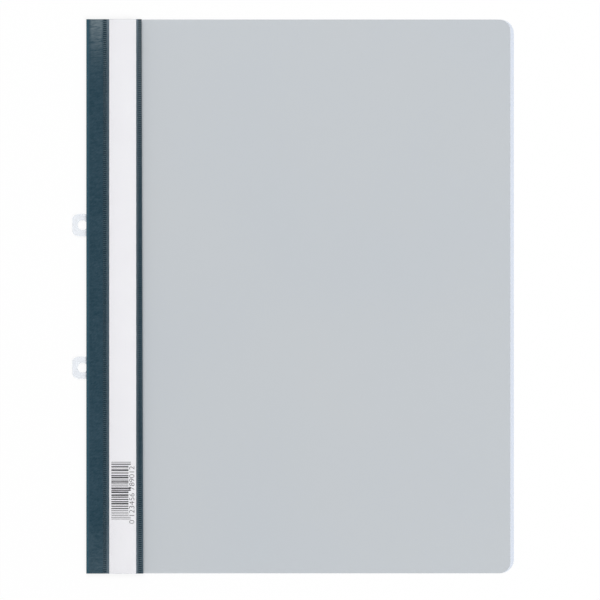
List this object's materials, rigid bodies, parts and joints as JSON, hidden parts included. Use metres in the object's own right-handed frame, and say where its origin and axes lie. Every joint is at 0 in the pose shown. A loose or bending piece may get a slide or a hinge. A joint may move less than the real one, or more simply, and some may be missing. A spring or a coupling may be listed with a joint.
{
  "type": "fastener folder",
  "caption": "Flat report folder with clear front, grey back, dark spine strip with a label pocket, inside tongue fastener and two eyelets that hang it on binder rings.",
  "frame": {"origin": "centre of the closed folder's outline, on the underside of the back cover", "axes": "+X from the spine to the open edge, +Y up the page, +Z out of the front cover"},
  "size_m": [0.2479, 0.311, 0.0038],
  "materials": {
    "grey_film": "stiff film with a fine matte grain",
    "dark_film": "soft film, embossed like fine leather, satin",
    "clear_film": "clear stiff film, glossy",
    "label_card": "smooth white card",
    "milky_film": "milky, slightly see-through, smooth",
    "tongue_metal": "thin tinned strip, softly bright",
    "bar_metal": "pressed tinned sheet, softly bright"
  },
  "bodies": {
    "back": {"back_cover": "grey_film", "spine_back": "dark_film", "tongue_strip": "tongue_metal", "filing_strip": "milky_film", "cover_bar": "bar_metal"},
    "front": {"spine_front": "dark_film", "label_insert": "label_card", "front_cover": "clear_film"}
  },
  "joints": [
    {"name": "cover_open", "type": "hinge", "parent": "back", "child": "front", "pos_m": [-0.11983, 0, 0.00308], "axis": [0, -1, 0], "range_deg": [0, 180]}
  ]
}
